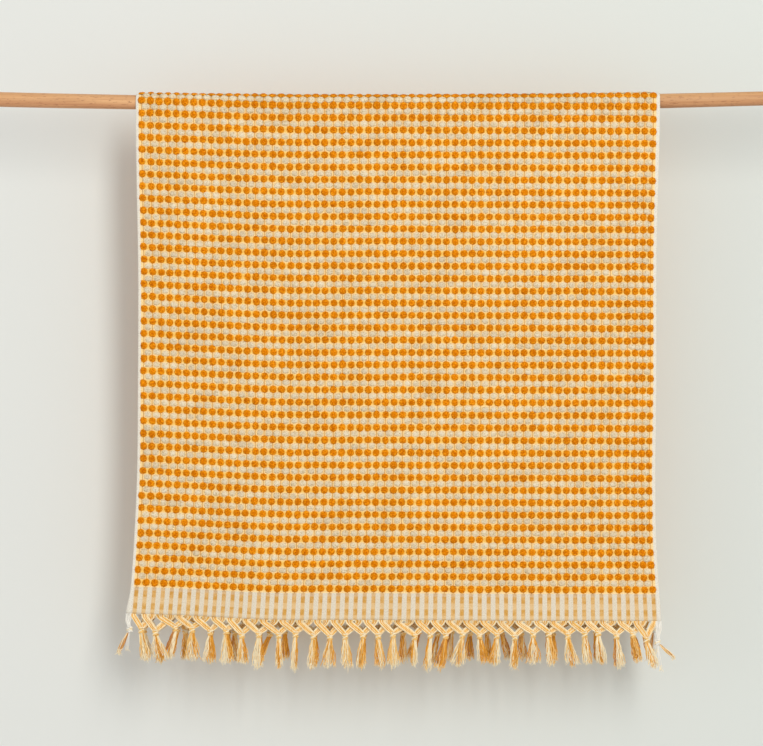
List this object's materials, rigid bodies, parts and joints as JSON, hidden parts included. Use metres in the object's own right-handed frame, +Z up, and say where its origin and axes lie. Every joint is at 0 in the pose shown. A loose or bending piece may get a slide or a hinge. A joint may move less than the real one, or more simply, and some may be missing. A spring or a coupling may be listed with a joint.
{
  "type": "fringed hand towel folded over a wooden rod",
  "caption": "Dotted terry hand towel with a knotted tassel fringe at both ends, folded once over a plain round wooden rod.",
  "frame": {"origin": "on the rod's axis at mid-span", "axes": "+X along the rod to the right as seen from the front, +Y to the back, +Z up"},
  "size_m": [0.82, 0.0331, 0.5565],
  "materials": {
    "rod_wood": "smooth pale natural wood with a fine grain along the rod, bare or oiled, soft sheen",
    "terry_cotton": "cotton terry: mustard-orange and cream loop tufts in staggered rows, cream flat-woven bands and selvedges",
    "fringe_yarn": "cream and mustard cotton warp yarns, crossed, knotted and cut into short tassels"
  },
  "bodies": {
    "root": {"rod": "rod_wood", "towel": "terry_cotton", "fringe_front": "fringe_yarn", "fringe_back": "fringe_yarn"}
  },
  "joints": []
}
